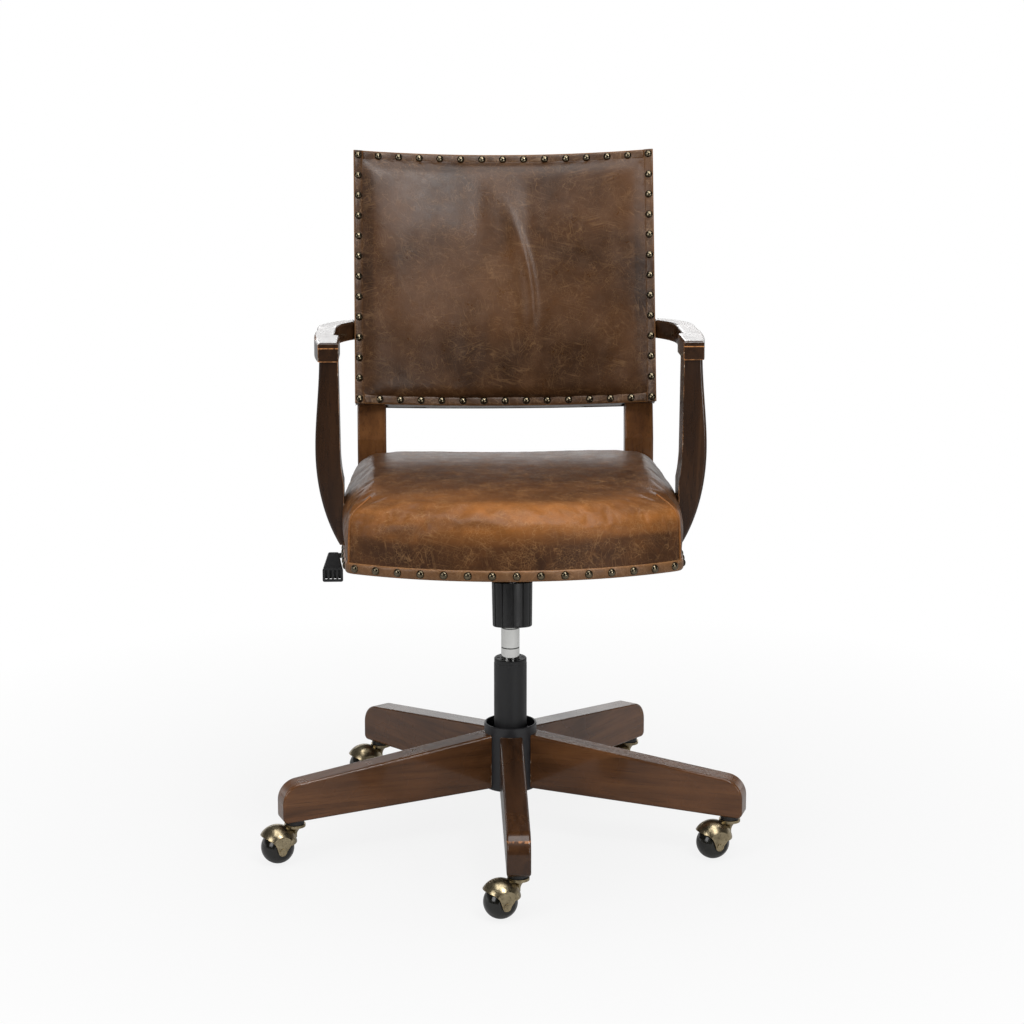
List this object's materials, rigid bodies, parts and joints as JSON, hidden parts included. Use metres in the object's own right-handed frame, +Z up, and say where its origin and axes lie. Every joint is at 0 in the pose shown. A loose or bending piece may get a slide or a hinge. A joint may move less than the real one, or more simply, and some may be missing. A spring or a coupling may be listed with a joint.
{
  "type": "desk chair",
  "caption": "Swivelling desk chair with a bow-fronted leather seat, nailed leather back, wooden arms and a star base of wooden legs on hooded ball casters, with height and tilt adjustment.",
  "frame": {"origin": "on the floor under the middle of the column", "axes": "+Z up, -Y is where the sitter faces, +X is the sitter's left"},
  "size_m": [0.7314, 0.7914, 1.0185],
  "materials": {
    "walnut": "stained walnut, satin lacquer",
    "leather": "worn waxed leather, semi-gloss",
    "band_leather": "cut strip leather, rubbed edges",
    "webbing": "black woven dust cloth",
    "beech": "plain hidden frame wood",
    "black_paint": "black enamel, slightly worn",
    "gunmetal": "gunmetal enamel",
    "chrome": "polished chrome",
    "steel": "plain turned steel",
    "spring_steel": "dark spring steel",
    "antique_brass": "antique brass plate, gloss",
    "black_plastic": "satin black plastic",
    "wheel_plastic": "hard gloss wheel"
  },
  "bodies": {
    "base": {"hub_tube": "gunmetal", "hub_core": "black_paint", "leg_1": "walnut", "leg_2": "walnut", "leg_3": "walnut", "leg_4": "walnut", "leg_5": "walnut", "leg_bolts": "steel", "caster_sockets": "black_plastic", "stand_tube": "black_paint", "guide_bush": "black_plastic", "thrust_bearing": "steel"},
    "rod": {"piston_rod": "steel", "rod_clip": "steel"},
    "lift": {"gas_cylinder": "chrome", "mech_housing": "black_paint", "pivot_pins": "steel", "tension_spring": "spring_steel"},
    "valve": {"valve_pin": "steel"},
    "seat": {"seat_plate": "black_paint", "plate_screws": "steel", "tension_bolt": "steel", "dust_cover": "webbing", "seat_board": "beech", "seat_rails": "beech", "seat_pad": "leather", "seat_band": "band_leather", "back_stile_left": "walnut", "back_stile_right": "walnut", "back_top_rail": "beech", "back_bottom_rail": "beech", "back_pad": "leather", "back_cover": "leather", "back_band": "band_leather", "arm_rest_left": "walnut", "arm_rest_right": "walnut", "arm_post_left": "walnut", "arm_post_right": "walnut", "arm_bolts": "steel"},
    "spring_seat": {"spring_washer": "steel"},
    "knob": {"tension_knob": "black_plastic"},
    "lever": {"lever_rod": "black_paint", "lever_grip": "black_plastic"},
    "caster_1": {"caster_horn_1": "antique_brass", "caster_pins_1": "steel"},
    "wheel_1": {"caster_wheel_1": "wheel_plastic"},
    "caster_2": {"caster_horn_2": "antique_brass", "caster_pins_2": "steel"},
    "wheel_2": {"caster_wheel_2": "wheel_plastic"},
    "caster_3": {"caster_horn_3": "antique_brass", "caster_pins_3": "steel"},
    "wheel_3": {"caster_wheel_3": "wheel_plastic"},
    "caster_4": {"caster_horn_4": "antique_brass", "caster_pins_4": "steel"},
    "wheel_4": {"caster_wheel_4": "wheel_plastic"},
    "caster_5": {"caster_horn_5": "antique_brass", "caster_pins_5": "steel"},
    "wheel_5": {"caster_wheel_5": "wheel_plastic"}
  },
  "joints": [
    {"name": "swivel", "type": "hinge", "parent": "base", "child": "rod", "pos_m": [0, 0, 0.08], "axis": [0, 0, 1], "continuous": true},
    {"name": "height", "type": "slide", "parent": "rod", "child": "lift", "axis": [0, 0, 1], "range_m": [-0.1, 0]},
    {"name": "tilt", "type": "hinge", "parent": "lift", "child": "seat", "pos_m": [0, 0, 0.443], "axis": [-1, 0, 0], "range_deg": [0, 14], "deforming": ["tension_spring"]},
    {"name": "lever_lift", "type": "hinge", "parent": "seat", "child": "lever", "pos_m": [-0.0475, 0.026, 0.4446], "axis": [0, 1, 0], "range_deg": [0, 2.5], "stiffness_Nm_per_rad": 4},
    {"name": "valve_press", "type": "slide", "parent": "lift", "child": "valve", "axis": [0, 0, -1], "range_m": [0, 0.0022]},
    {"name": "preload", "type": "slide", "parent": "seat", "child": "spring_seat", "axis": [0, 0.1736, 0.9848], "range_m": [-0.0035, 0.0035], "deforming": ["tension_spring"]},
    {"name": "knob_turn", "type": "hinge", "parent": "spring_seat", "child": "knob", "pos_m": [0, -0.072, 0.445], "axis": [0, 0.1736, 0.9848], "range_deg": [-720, 720]},
    {"name": "caster_swivel_1", "type": "hinge", "parent": "base", "child": "caster_1", "pos_m": [0, -0.344, 0.045], "axis": [0, 0, 1], "continuous": true},
    {"name": "wheel_spin_1", "type": "hinge", "parent": "caster_1", "child": "wheel_1", "pos_m": [-0.02596, -0.35449, 0.025], "axis": [-0.3746, 0.9272, 0], "continuous": true},
    {"name": "caster_swivel_2", "type": "hinge", "parent": "base", "child": "caster_2", "pos_m": [0.32716, -0.1063, 0.045], "axis": [0, 0, 1], "continuous": true},
    {"name": "wheel_spin_2", "type": "hinge", "parent": "caster_2", "child": "wheel_2", "pos_m": [0.3012, -0.11679, 0.025], "axis": [-0.3746, 0.9272, 0], "continuous": true},
    {"name": "caster_swivel_3", "type": "hinge", "parent": "base", "child": "caster_3", "pos_m": [0.2022, 0.2783, 0.045], "axis": [0, 0, 1], "continuous": true},
    {"name": "wheel_spin_3", "type": "hinge", "parent": "caster_3", "child": "wheel_3", "pos_m": [0.17624, 0.26781, 0.025], "axis": [-0.3746, 0.9272, 0], "continuous": true},
    {"name": "caster_swivel_4", "type": "hinge", "parent": "base", "child": "caster_4", "pos_m": [-0.2022, 0.2783, 0.045], "axis": [0, 0, 1], "continuous": true},
    {"name": "wheel_spin_4", "type": "hinge", "parent": "caster_4", "child": "wheel_4", "pos_m": [-0.22816, 0.26781, 0.025], "axis": [-0.3746, 0.9272, 0], "continuous": true},
    {"name": "caster_swivel_5", "type": "hinge", "parent": "base", "child": "caster_5", "pos_m": [-0.32716, -0.1063, 0.045], "axis": [0, 0, 1], "continuous": true},
    {"name": "wheel_spin_5", "type": "hinge", "parent": "caster_5", "child": "wheel_5", "pos_m": [-0.35312, -0.11679, 0.025], "axis": [-0.3746, 0.9272, 0], "continuous": true}
  ],
  "couplings": [
    {"joint": "valve_press", "follows": "lever_lift", "m_per_rad": 0.0475},
    {"joint": "preload", "follows": "knob_turn", "m_per_rad": 0.00027852}
  ]
}
